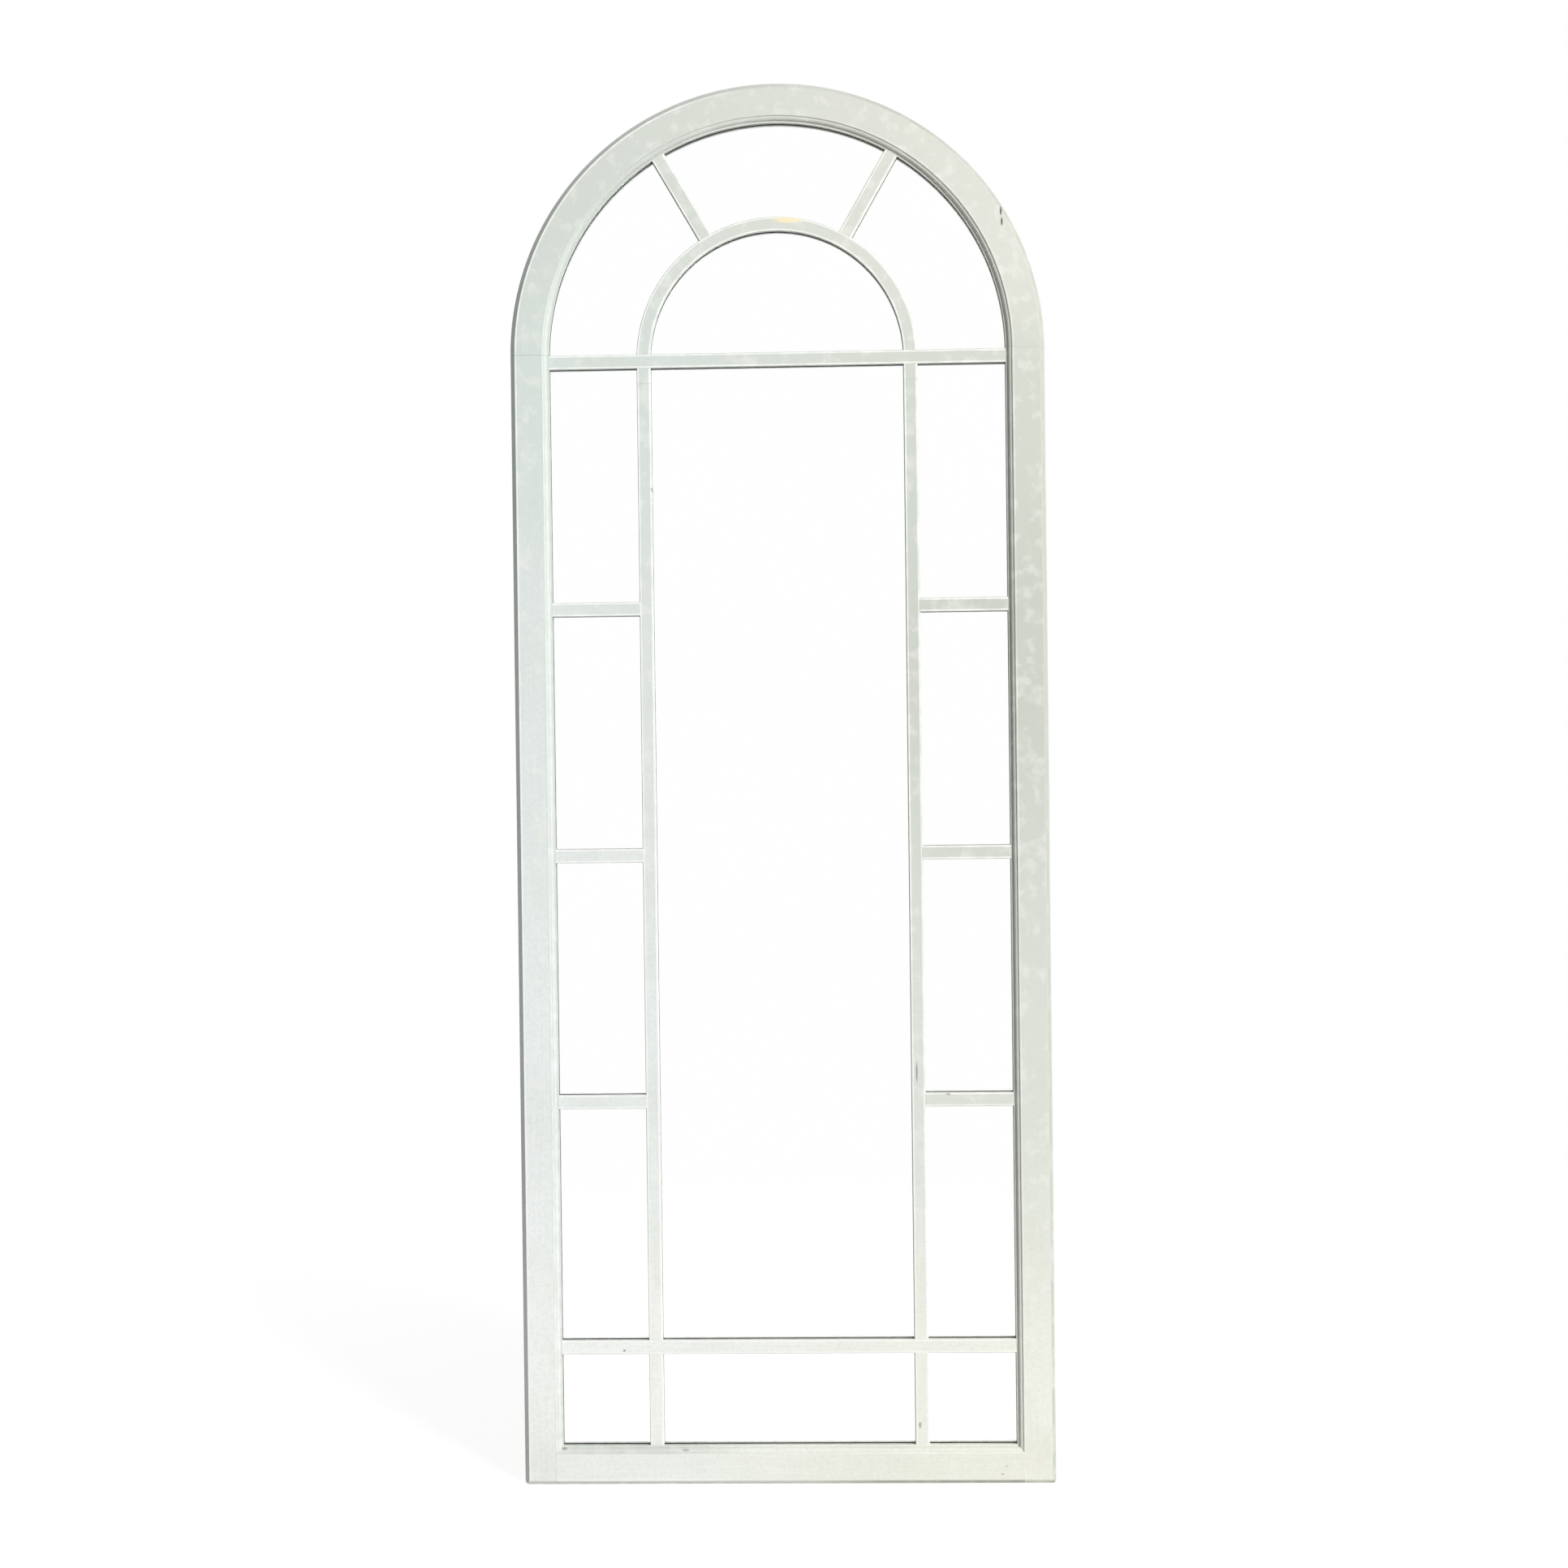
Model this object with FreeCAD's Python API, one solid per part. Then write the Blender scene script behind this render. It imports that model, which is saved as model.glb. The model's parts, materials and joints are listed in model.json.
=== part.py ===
import FreeCAD, Part
import math
import os

# Arched window mirror: a painted wooden frame with a half-round head, a grille of thin glazing bars
# planted on one sheet of mirror glass, and the fittings on its back.
#
# Millimetres. X runs to the right seen from the front, Y runs from the front to the wall, Z is up.
# The origin is the centre of the underside, halfway through the frame's depth.

Vector = FreeCAD.Vector

# ---------------------------------------------------------------- driving dimensions

overall_width = 760.0
overall_height = 1996.0
frame_depth = 30.0

# frame members, seen from the front
stile_width = 55.0              # also the width of the half-round head
rail_width = 55.0
outer_chamfer_width = 6.5
outer_chamfer_depth = 6.0
corner_radius = 7.0             # rounding of the two bottom corners

# moulding round the opening, from the flat face in to the glass
arris_radius = 1.4              # eased edge between the flat face and the quirk, in two flats
quirk_width = 0.5
quirk_depth = 1.9
ovolo_radius = 5.1
fillet_width = 2.6

# glazing bars
bar_width = 20.0
bar_height = 6.0                # the bars stand on the glass and lie flush with the moulding's fillet
bar_chamfer = 0.8
upright_spacing = 380.0         # centre to centre
inner_arch_drop = 8.0           # centre of the inner arch below the spring line
transom_drop = 10.0             # centre of the transom below the spring line
base_bar_level = 196.0          # centre of the lowest bar above the underside
side_bar_count = 3              # short bars in each side margin, evenly spaced
radial_bar_angle = 30.0         # either side of vertical, in degrees
leg_joint_drop = 42.0           # joint between inner arch and upright, below the spring line
lap_length = 16.0               # overlap of end-to-end lap joints

# glass and backing in the rabbet
rabbet_width = 10.0
edge_clearance = 2.0            # gap round the glass and the backing board
glass_thickness = 4.0
board_thickness = 6.0

# joinery of the frame
tenon_length = 36.0
tenon_thickness = 10.0
tenon_height = 28.0
tenon_shoulder = 9.0            # wood left between the tenon and the rail's underside
tenon_clearance = 0.2
slip_tenon_length = 60.0        # loose tenons in the three joints of the head, half in either piece
slip_tenon_width = 28.0
slip_tenon_thickness = 9.0
slip_tenon_edge = 13.0          # wood left outside the loose tenon
slip_tenon_clearance = 0.1
slip_tenon_end_gap = 1.0

# offset clips that hold the board, and their screws
clip_width = 14.0
clip_foot_length = 20.0
clip_toe_length = 12.0
clip_thickness = 1.2
clip_corner_cut = 3.0
clip_wall_gap = 0.3
clip_screw_inset = 11.0         # from the rabbet wall out to the screw
clips_per_stile = 3
clips_on_rail = 2
clips_per_quarter = 2
clip_hole_radius = 2.1
clip_screw_radius = 1.75
clip_screw_length = 16.0
clip_head_radius = 3.6
clip_head_height = 2.0

# D-ring hangers
hanger_drop = 116.0             # the ring's straight bar below the spring line
strap_width = 14.0
strap_length = 52.0
strap_thickness = 1.2           # one leaf of the folded strap
ring_wire_radius = 1.5
wire_sides = 10                 # the bent stretches of the wire have this many flat sides
ring_corner_steps = 3
ring_bow_steps = 14
ring_half_width = 14.0          # to the centre of the wire
ring_side_length = 5.0          # straight side of the D, from its straight bar to the bow
ring_corner_radius = 3.5
ring_running_clearance = 0.08
ring_rest_gap = 0.2             # between the hanging ring and the strap
hanger_screw_offsets = (27.0, 42.0)
hanger_hole_radius = 2.4
hanger_screw_radius = 2.1
hanger_screw_length = 20.0
hanger_head_radius = 4.0
hanger_head_height = 2.2

# rubber bumpers
bumper_level = 60.0
bumper_radius = 8.0
bumper_top_radius = 6.5
bumper_height = 6.0
bumper_edge_cut = 1.0

# ---------------------------------------------------------------- derived levels

past = 5.0                                      # how far cutting tools run past the wood
screw_tip_gap = 0.5                             # pilot holes run this much past the screws
screw_sides = 12
screw_tip_radius = 0.3
tip_length = 3.0
head_taper = 0.7                                # top of a pan head as a share of its rim

half_width = overall_width / 2
spring_level = overall_height - half_width      # centre of the half-round head
front_y = -frame_depth / 2
back_y = frame_depth / 2

moulding_width = arris_radius + quirk_width + ovolo_radius + fillet_width
fillet_y = front_y + quirk_depth + ovolo_radius
glass_y = fillet_y + bar_height                 # front of the glass, back of the bars
glass_back_y = glass_y + glass_thickness
board_back_y = glass_back_y + board_thickness

opening_half = half_width - stile_width
rabbet_half = opening_half + rabbet_width
rabbet_bottom = rail_width - rabbet_width
shoulder_x = opening_half + moulding_width      # where the rail's face meets the stile's
shoulder_z = rail_width - moulding_width

upright_x = upright_spacing / 2
arch_centre_z = spring_level - inner_arch_drop
transom_z = spring_level - transom_drop
leg_joint_z = spring_level - leg_joint_drop
bar_mid_y = glass_y - bar_height / 2            # plane that parts the two halves of a lap

stile_back_x = (half_width + rabbet_half) / 2   # middle of the stile's back face
hanger_level = spring_level - hanger_drop


# ---------------------------------------------------------------- small helpers

def box(x_range, y_range, z_range):
    low = Vector(x_range[0], y_range[0], z_range[0])
    return Part.makeBox(x_range[1] - x_range[0], y_range[1] - y_range[0], z_range[1] - z_range[0], low)


def face_through(points):
    return Part.Face(Part.makePolygon(points + [points[0]]))


def clean(shape):
    """Merge faces that lie on one surface; a lone solid comes out of its compound."""
    merged = shape.removeSplitter()
    return merged.Solids[0] if len(merged.Solids) == 1 else merged


def mirrored(shape):
    return shape.mirror(Vector(0, 0, 0), Vector(1, 0, 0))


def group(solids):
    return Part.makeCompound(solids)


def turned_about_y(shape, centre_z, degrees):
    """Turn about the axis along Y through (0, centre_z); positive leans the top to the right."""
    copy = shape.copy()
    copy.rotate(Vector(0, 0, centre_z), Vector(0, 1, 0), degrees)
    return copy


def arch_plate(half, bottom_z, centre_z, y_range):
    """Round-headed plate: a rectangle below the centre and a half disc above it."""
    depth = y_range[1] - y_range[0]
    lower = box((-half, half), y_range, (bottom_z, centre_z))
    disc = Part.makeCylinder(half, depth, Vector(0, y_range[0], centre_z), Vector(0, 1, 0))
    return lower.fuse(disc)


# ---------------------------------------------------------------- frame blank

def moulding_edges(place):
    """The moulding's outline from the glass to past the front face.

    place(u, y) puts a point u millimetres outside the opening's edge, at depth y.
    """
    quirk_y = front_y + quirk_depth
    ovolo_top = fillet_width + ovolo_radius
    bend = ovolo_radius * math.sqrt(0.5)
    land = Part.LineSegment(place(0, glass_y), place(0, fillet_y))
    fillet = Part.LineSegment(place(0, fillet_y), place(fillet_width, fillet_y))
    ovolo = Part.Arc(place(fillet_width, fillet_y),
                     place(ovolo_top - bend, fillet_y - bend),
                     place(ovolo_top, quirk_y))
    wall_top = moulding_width - arris_radius
    arris_bend = arris_radius * math.sqrt(0.5)
    arris_foot = place(wall_top, front_y + arris_radius)
    arris_middle = place(moulding_width - arris_bend, front_y + arris_radius - arris_bend)
    quirk = Part.LineSegment(place(ovolo_top, quirk_y), arris_foot)
    arris_inner = Part.LineSegment(arris_foot, arris_middle)
    arris_outer = Part.LineSegment(arris_middle, place(moulding_width, front_y))
    mouth = Part.LineSegment(place(moulding_width, front_y), place(moulding_width, front_y - past))
    return [curve.toShape() for curve in (land, fillet, ovolo, quirk, arris_inner, arris_outer, mouth)]


def closed_face(edges, far_points):
    """Close a row of edges through far_points and make a face of it."""
    start = edges[0].Vertexes[0].Point
    end = edges[-1].Vertexes[-1].Point
    route = [end] + far_points + [start]
    lines = [Part.LineSegment(a, b).toShape() for a, b in zip(route, route[1:])]
    return Part.Face(Part.Wire(edges + lines))


def opening_cutter():
    """The space inside the moulding: it narrows from the face down to the glass."""
    def left(u, y):
        return Vector(-opening_half - u, y, 0)

    def right(u, y):
        return Vector(opening_half + u, y, 0)

    def bottom(u, y):
        return Vector(-half_width, y, rail_width - u)

    def crown(u, y):
        return Vector(opening_half + u, y, spring_level)

    edges_right = [edge.reversed() for edge in reversed(moulding_edges(right))]
    left_face = closed_face(moulding_edges(left), [Vector(0, front_y - past, 0), Vector(0, glass_y, 0)])
    right_face = closed_face(moulding_edges(right), [Vector(0, front_y - past, 0), Vector(0, glass_y, 0)])
    across = left_face.extrude(Vector(0, 0, spring_level))
    across = across.fuse(right_face.extrude(Vector(0, 0, spring_level)))

    bottom_face = closed_face(moulding_edges(bottom),
                              [Vector(-half_width, front_y - past, spring_level),
                               Vector(-half_width, glass_y, spring_level)])
    upward = bottom_face.extrude(Vector(overall_width, 0, 0))

    crown_face = closed_face(moulding_edges(crown),
                             [Vector(0, front_y - past, spring_level), Vector(0, glass_y, spring_level)])
    head = crown_face.revolve(Vector(0, 0, spring_level), Vector(0, -1, 0), 180)
    return across.common(upward).fuse(head)


def outer_blank():
    """The frame's outside: chamfered front edge, rounded bottom corners, half-round head."""
    chamfer_y = front_y + outer_chamfer_depth
    flat_half = half_width - outer_chamfer_width
    across = face_through([Vector(-half_width, back_y, 0),
                           Vector(-half_width, chamfer_y, 0),
                           Vector(-flat_half, front_y, 0),
                           Vector(flat_half, front_y, 0),
                           Vector(half_width, chamfer_y, 0),
                           Vector(half_width, back_y, 0)]).extrude(Vector(0, 0, spring_level))
    upward = face_through([Vector(-half_width, back_y, 0),
                           Vector(-half_width, chamfer_y, 0),
                           Vector(-half_width, front_y, outer_chamfer_width),
                           Vector(-half_width, front_y, spring_level),
                           Vector(-half_width, back_y, spring_level)]).extrude(Vector(overall_width, 0, 0))
    rounded = Part.makeBox(overall_width, frame_depth, spring_level + corner_radius,
                           Vector(-half_width, front_y, 0))
    corners = [edge for edge in rounded.Edges
               if edge.BoundBox.ZMax < corner_radius / 2 and edge.BoundBox.YLength > frame_depth / 2]
    rounded = rounded.makeFillet(corner_radius, corners)
    head = face_through([Vector(0, back_y, spring_level),
                         Vector(half_width, back_y, spring_level),
                         Vector(half_width, chamfer_y, spring_level),
                         Vector(flat_half, front_y, spring_level),
                         Vector(0, front_y, spring_level)])
    head = head.revolve(Vector(0, 0, spring_level), Vector(0, -1, 0), 180)
    return across.common(upward).common(rounded).fuse(head)


def frame_ring():
    rabbet = arch_plate(rabbet_half, rabbet_bottom, spring_level, (glass_y, back_y + past))
    return outer_blank().cut(opening_cutter()).cut(rabbet)


# ---------------------------------------------------------------- frame members

def rail_region():
    """What belongs to the bottom rail: square shoulders, and the moulding mitred at both ends."""
    outline = [Vector(-shoulder_x, front_y - past, -past),
               Vector(shoulder_x, front_y - past, -past),
               Vector(shoulder_x, front_y - past, shoulder_z),
               Vector(opening_half, front_y - past, rail_width),
               Vector(-opening_half, front_y - past, rail_width),
               Vector(-shoulder_x, front_y - past, shoulder_z)]
    return face_through(outline).extrude(Vector(0, frame_depth + 2 * past, 0))


def rail_tenon(gap):
    """Tenon of the right end, or with a gap the mortise that takes it."""
    return box((shoulder_x, shoulder_x + tenon_length + gap),
               (-tenon_thickness / 2 - gap, tenon_thickness / 2 + gap),
               (tenon_shoulder - gap, tenon_shoulder + tenon_height + gap))


def slip_tenons(gap, end_gap):
    """The head's three loose tenons, or with gaps their mortises: two spring joints, one crown joint."""
    outer = half_width - slip_tenon_edge + gap
    inner = half_width - slip_tenon_edge - slip_tenon_width - gap
    reach = slip_tenon_length / 2 + end_gap
    half = slip_tenon_thickness / 2 + gap
    spring = (spring_level - reach, spring_level + reach)
    crown = (spring_level + inner, spring_level + outer)
    return [box((-outer, -inner), (-half, half), spring),
            box((inner, outer), (-half, half), spring),
            box((-reach, reach), (-half, half), crown)]


def frame_members():
    ring = frame_ring()
    holes = slip_tenons(slip_tenon_clearance, slip_tenon_end_gap)
    holes += [screw_hole(*place) for place in clip_screw_places()]
    holes += [screw_hole(*place) for place in hanger_screw_places()]
    region = rail_region()
    lower = (-past, spring_level)
    upper = (spring_level, overall_height + past)
    left_side = (-half_width - past, 0)
    right_side = (0, half_width + past)
    depth = (front_y - past, back_y + past)
    mortise = rail_tenon(tenon_clearance)
    tenon = rail_tenon(0)

    left_stile = ring.common(box(left_side, depth, lower)).cut(region).cut(mirrored(mortise))
    right_stile = ring.common(box(right_side, depth, lower)).cut(region).cut(mortise)
    rail = ring.common(region).fuse(tenon).fuse(mirrored(tenon))
    head_left = ring.common(box(left_side, depth, upper))
    head_right = ring.common(box(right_side, depth, upper))
    members = {"left_stile": left_stile,
               "right_stile": right_stile,
               "bottom_rail": rail,
               "arch_head_left": head_left,
               "arch_head_right": head_right}
    return {name: clean(member.cut(holes)) for name, member in members.items()}


# ---------------------------------------------------------------- glazing bars

def bar_section(across, at):
    """Section of a bar as points: across gives the width's direction, at the middle of its foot."""
    half = bar_width / 2
    bar_front_y = glass_y - bar_height
    outline = [(-half, glass_y),
               (half, glass_y),
               (half, bar_front_y + bar_chamfer),
               (half - bar_chamfer, bar_front_y),
               (-half + bar_chamfer, bar_front_y),
               (-half, bar_front_y + bar_chamfer)]
    return face_through([at + across * u + Vector(0, y, 0) for u, y in outline])


def level_bar(z, x_from, x_to):
    section = bar_section(Vector(0, 0, 1), Vector(x_from, 0, z))
    return section.extrude(Vector(x_to - x_from, 0, 0))


def upright_bar(x, z_from, z_to):
    section = bar_section(Vector(1, 0, 0), Vector(x, 0, z_from))
    return section.extrude(Vector(0, 0, z_to - z_from))


def layer(y_range, x_range, z_range):
    return box(x_range, y_range, z_range)


front_half = (glass_y - bar_height - past, bar_mid_y)
back_half = (bar_mid_y, glass_y + past)


def cross_lap(over, under, x, z):
    """Halve two bars that cross at (x, z): over keeps the front half, under the back half."""
    reach = bar_width / 2
    spans = ((x - reach, x + reach), (z - reach, z + reach))
    front = layer(front_half, *spans)
    back = layer(back_half, *spans)
    return over.cut(back).fuse(under.common(front)), under.cut(front)


def tee_lap(branch, through):
    """Let the branch's back half into the through bar, and scribe its front to that bar's chamfer."""
    everywhere = (-half_width, half_width)
    front = layer(front_half, everywhere, (0, overall_height))
    joined = branch.cut(through.common(front))
    return joined, through.cut(joined)


def inner_arch_halves():
    """Two quarter rings with legs, lapped on each other at the crown."""
    section = bar_section(Vector(1, 0, 0), Vector(upright_x, 0, arch_centre_z))
    ring = section.revolve(Vector(0, 0, arch_centre_z), Vector(0, -1, 0), 180)
    leg_foot = leg_joint_z - lap_length
    legs = upright_bar(-upright_x, leg_foot, arch_centre_z).fuse(upright_bar(upright_x, leg_foot, arch_centre_z))
    whole = ring.fuse(legs)
    whole = whole.cut(layer(front_half, (-half_width, half_width), (0, leg_joint_z)))
    crown = (arch_centre_z, overall_height)
    tongue = layer(back_half, (0, lap_length), crown)
    left = whole.common(box((-half_width, 0), (front_y, back_y), (0, overall_height)))
    left = left.fuse(whole.common(tongue))
    return left, whole.cut(left)


def radial_bar(degrees):
    """A bar of the fan, from the inner arch's centre line out to the head."""
    bar = upright_bar(0, arch_centre_z, overall_height)
    bar = turned_about_y(bar, arch_centre_z, degrees)
    hub = Part.makeCylinder(upright_x, frame_depth, Vector(0, front_y, arch_centre_z), Vector(0, 1, 0))
    opening = Part.makeCylinder(opening_half, frame_depth, Vector(0, front_y, spring_level), Vector(0, 1, 0))
    return bar.cut(hub).common(opening)


def glazing_bars():
    bars = {}
    left_upright = upright_bar(-upright_x, rail_width, leg_joint_z)
    right_upright = upright_bar(upright_x, rail_width, leg_joint_z)
    socket = layer(back_half, (-half_width, half_width), (leg_joint_z - lap_length, leg_joint_z))
    left_upright = left_upright.cut(socket)
    right_upright = right_upright.cut(socket)
    arch_left, arch_right = inner_arch_halves()

    transom = level_bar(transom_z, -opening_half, opening_half)
    transom, arch_left = cross_lap(transom, arch_left, -upright_x, transom_z)
    transom, arch_right = cross_lap(transom, arch_right, upright_x, transom_z)

    base = level_bar(base_bar_level, -opening_half, opening_half)
    base, left_upright = cross_lap(base, left_upright, -upright_x, base_bar_level)
    base, right_upright = cross_lap(base, right_upright, upright_x, base_bar_level)

    pitch = (transom_z - base_bar_level) / (side_bar_count + 1)
    for i in range(side_bar_count):
        z = base_bar_level + pitch * (i + 1)
        left_bar, left_upright = tee_lap(level_bar(z, -opening_half, -upright_x), left_upright)
        right_bar, right_upright = tee_lap(level_bar(z, upright_x, opening_half), right_upright)
        bars[f"side_bar_left_{i + 1}"] = left_bar
        bars[f"side_bar_right_{i + 1}"] = right_bar

    fan_left, arch_left = tee_lap(radial_bar(-radial_bar_angle), arch_left)
    fan_right, arch_right = tee_lap(radial_bar(radial_bar_angle), arch_right)

    bars["left_upright"] = left_upright
    bars["right_upright"] = right_upright
    bars["inner_arch_left"] = arch_left
    bars["inner_arch_right"] = arch_right
    bars["transom_bar"] = transom
    bars["base_bar"] = base
    bars["radial_bar_left"] = fan_left
    bars["radial_bar_right"] = fan_right
    return {name: clean(bar) for name, bar in bars.items()}


# ---------------------------------------------------------------- glass and backing

def glass_and_board():
    half = rabbet_half - edge_clearance
    bottom = rabbet_bottom + edge_clearance
    glass = arch_plate(half, bottom, spring_level, (glass_y, glass_back_y))
    board = arch_plate(half, bottom, spring_level, (glass_back_y, board_back_y))
    return {"mirror_glass": clean(glass), "backing_board": clean(board)}


# ---------------------------------------------------------------- screws

def faceted_rod(start, length, radius, end_radius=None):
    """Many-sided rod or taper along Y; the radius is to its corners."""
    rings = []
    for y, corner in ((0, radius), (length, end_radius or radius)):
        points = []
        for i in range(screw_sides + 1):
            turn = math.tau * i / screw_sides
            points.append(start + Vector(corner * math.cos(turn), y, corner * math.sin(turn)))
        rings.append(Part.makePolygon(points))
    return Part.makeLoft(rings, True, True)


def screw(radius, length, head_radius, head_height):
    """Pan-head screw along Y: the head's underside at the origin, the tip towards the front."""
    tip = faceted_rod(Vector(0, -length, 0), tip_length, screw_tip_radius, radius)
    shank = faceted_rod(Vector(0, tip_length - length, 0), length - tip_length, radius)
    head = faceted_rod(Vector(0, 0, 0), head_height, head_radius, head_radius * head_taper)
    return clean(tip.fuse(shank).fuse(head))


def screw_hole(place, radius, length):
    """Pilot hole for a screw whose head rests at place; it opens on the back face."""
    depth = length + screw_tip_gap
    return faceted_rod(place + Vector(0, -depth, 0), depth + past, radius)


# ---------------------------------------------------------------- clips

def clip_places():
    """Point on the rabbet wall at the back face, and the angle of the outward direction from +X."""
    places = []
    step = (spring_level - rail_width) / clips_per_stile
    for i in range(clips_per_stile):
        z = rail_width + step * (i + 0.5)
        places.append((Vector(-rabbet_half, back_y, z), 180.0))
        places.append((Vector(rabbet_half, back_y, z), 0.0))
    step = 2 * opening_half / clips_on_rail
    for i in range(clips_on_rail):
        places.append((Vector(-opening_half + step * (i + 0.5), back_y, rabbet_bottom), -90.0))
    step = 180.0 / (2 * clips_per_quarter)
    for i in range(2 * clips_per_quarter):
        angle = step * (i + 0.5)
        turn = math.radians(angle)
        wall = Vector(rabbet_half * math.cos(turn), back_y, spring_level + rabbet_half * math.sin(turn))
        places.append((wall, angle))
    return places


def outward(angle):
    turn = math.radians(angle)
    return Vector(math.cos(turn), 0, math.sin(turn))


def clip_screw_places():
    """Where each clip's screw head rests, with the screw's radius and its length."""
    rests = []
    for wall, angle in clip_places():
        head = wall + outward(angle) * clip_screw_inset + Vector(0, clip_thickness, 0)
        rests.append((head, clip_screw_radius, clip_screw_length))
    return rests


def offset_clip():
    """Z-bent strip: the foot lies on the frame's back, the toe presses on the backing board.

    Made at the origin with the rabbet wall at X = 0, outward along +X, its width along Z.
    """
    half = clip_width / 2
    toe_y = board_back_y - back_y
    web = -clip_wall_gap
    outline = [Vector(clip_foot_length, 0, -half),
               Vector(web, 0, -half),
               Vector(web, toe_y, -half),
               Vector(-clip_toe_length, toe_y, -half),
               Vector(-clip_toe_length, toe_y + clip_thickness, -half),
               Vector(web - clip_thickness, toe_y + clip_thickness, -half),
               Vector(web - clip_thickness, clip_thickness, -half),
               Vector(clip_foot_length, clip_thickness, -half)]
    strip = face_through(outline).extrude(Vector(0, 0, clip_width))
    ends = [edge for edge in strip.Edges
            if edge.BoundBox.YLength > 0 and edge.BoundBox.XLength < 1e-6 and edge.BoundBox.ZLength < 1e-6
            and (edge.BoundBox.XMax > clip_foot_length - 1e-3 or edge.BoundBox.XMax < -clip_toe_length + 1e-3)]
    strip = strip.makeChamfer(clip_corner_cut, ends)
    hole = faceted_rod(Vector(clip_screw_inset, -past, 0), clip_thickness + 2 * past, clip_hole_radius)
    return strip.cut(hole)


def retaining_clips():
    master = offset_clip()
    clips = []
    for wall, angle in clip_places():
        clip = master.copy()
        clip.rotate(Vector(0, 0, 0), Vector(0, -1, 0), angle)
        clip.translate(wall)
        clips.append(clip)
    driver = screw(clip_screw_radius, clip_screw_length, clip_head_radius, clip_head_height)
    screws = [driver.translated(rest) for rest, _, _ in clip_screw_places()]
    return {"retaining_clips": group(clips), "clip_screws": group(screws)}


# ---------------------------------------------------------------- hangers

eye_bore = ring_wire_radius + ring_running_clearance
eye_radius = eye_bore + strap_thickness
strap_top_y = 2 * strap_thickness - eye_radius      # the folded strap's top, seen from the eye's centre


def hanger_centres():
    """Axis of each ring's straight bar: left, then right."""
    y = back_y + eye_radius
    return [Vector(-stile_back_x, y, hanger_level), Vector(stile_back_x, y, hanger_level)]


def hanger_screw_places():
    rests = []
    for centre in hanger_centres():
        for drop in hanger_screw_offsets:
            rest = centre + Vector(0, strap_top_y, -drop)
            rests.append((rest, hanger_screw_radius, hanger_screw_length))
    return rests


def hanger_strap():
    """Folded strap with the eye at its top; made round the eye's centre."""
    half = strap_width / 2
    leaf = box((-half, half), (-eye_radius, strap_top_y), (-strap_length + half, 0))
    end = Part.makeCylinder(half, strap_top_y + eye_radius,
                            Vector(0, -eye_radius, -strap_length + half), Vector(0, 1, 0))
    eye = Part.makeCylinder(eye_radius, strap_width, Vector(-half, 0, 0), Vector(1, 0, 0))
    bore = Part.makeCylinder(eye_bore, strap_width + 2 * past, Vector(-half - past, 0, 0), Vector(1, 0, 0))
    strap = leaf.fuse(end).fuse(eye).cut(bore)
    for drop in hanger_screw_offsets:
        strap = strap.cut(faceted_rod(Vector(0, -2 * eye_radius, -drop), 4 * eye_radius, hanger_hole_radius))
    return clean(strap)


def wire_section(centre, ray):
    """Many-sided section of the bent wire, in the plane of ray and Y."""
    points = []
    for i in range(wire_sides + 1):
        turn = math.tau * (i + 0.5) / wire_sides
        points.append(centre + ray * (ring_wire_radius * math.cos(turn))
                      + Vector(0, ring_wire_radius * math.sin(turn), 0))
    return Part.makePolygon(points)


def d_ring():
    """Closed D of round wire hanging down from its straight bar along X, made round that bar."""
    corner = ring_corner_radius
    inner = ring_half_width - corner
    bends = [(Vector(inner, 0, -corner), corner, 90, 0, ring_corner_steps),
             (Vector(0, 0, -ring_side_length), ring_half_width, 0, -180, ring_bow_steps),
             (Vector(-inner, 0, -corner), corner, -180, -270, ring_corner_steps)]
    sections = []
    for centre, radius, start, end, steps in bends:
        for i in range(steps + 1):
            ray = outward(start + (end - start) * i / steps)
            sections.append(wire_section(centre + ray * radius, ray))
    bent = Part.makeLoft(sections, True, True)
    bar = Part.makeCylinder(ring_wire_radius, 2 * inner, Vector(-inner, 0, 0), Vector(1, 0, 0))
    return clean(bar.fuse(bent))


def hangers():
    strap = hanger_strap()
    ring = d_ring()
    reach = ring_side_length + ring_half_width
    lift = strap_top_y + ring_rest_gap + ring_wire_radius
    lean = math.degrees(math.asin(lift / reach))
    ring.rotate(Vector(0, 0, 0), Vector(1, 0, 0), lean)
    parts = {}
    for side, centre in zip(("left", "right"), hanger_centres()):
        parts[f"hanger_plate_{side}"] = strap.translated(centre)
        parts[f"hanger_ring_{side}"] = ring.translated(centre)
    driver = screw(hanger_screw_radius, hanger_screw_length, hanger_head_radius, hanger_head_height)
    parts["hanger_screws"] = group([driver.translated(rest) for rest, _, _ in hanger_screw_places()])
    return parts


# ---------------------------------------------------------------- bumpers

def wall_bumpers():
    foot = Part.makeCone(bumper_radius, bumper_top_radius, bumper_height, Vector(0, 0, 0), Vector(0, 1, 0))
    rim = [edge for edge in foot.Edges if edge.BoundBox.YMin > bumper_height / 2]
    foot = foot.makeChamfer(bumper_edge_cut, rim)
    places = [Vector(side * stile_back_x, back_y, bumper_level) for side in (-1, 1)]
    return {"wall_bumpers": group([foot.translated(place) for place in places])}


# ---------------------------------------------------------------- assembly

def build():
    parts = frame_members()
    parts["loose_tenons"] = group(slip_tenons(0, 0))
    parts.update(glass_and_board())
    parts.update(glazing_bars())
    parts.update(retaining_clips())
    parts.update(hangers())
    parts.update(wall_bumpers())
    return parts


os.makedirs("parts", exist_ok=True)
for name, shape in build().items():
    solids = shape.Solids
    print(f"{name:20s} solids {len(solids):2d} valid {shape.isValid()} volume {shape.Volume / 1000:10.2f} cm3")
    shape.exportStep(f"parts/{name}.step")
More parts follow.
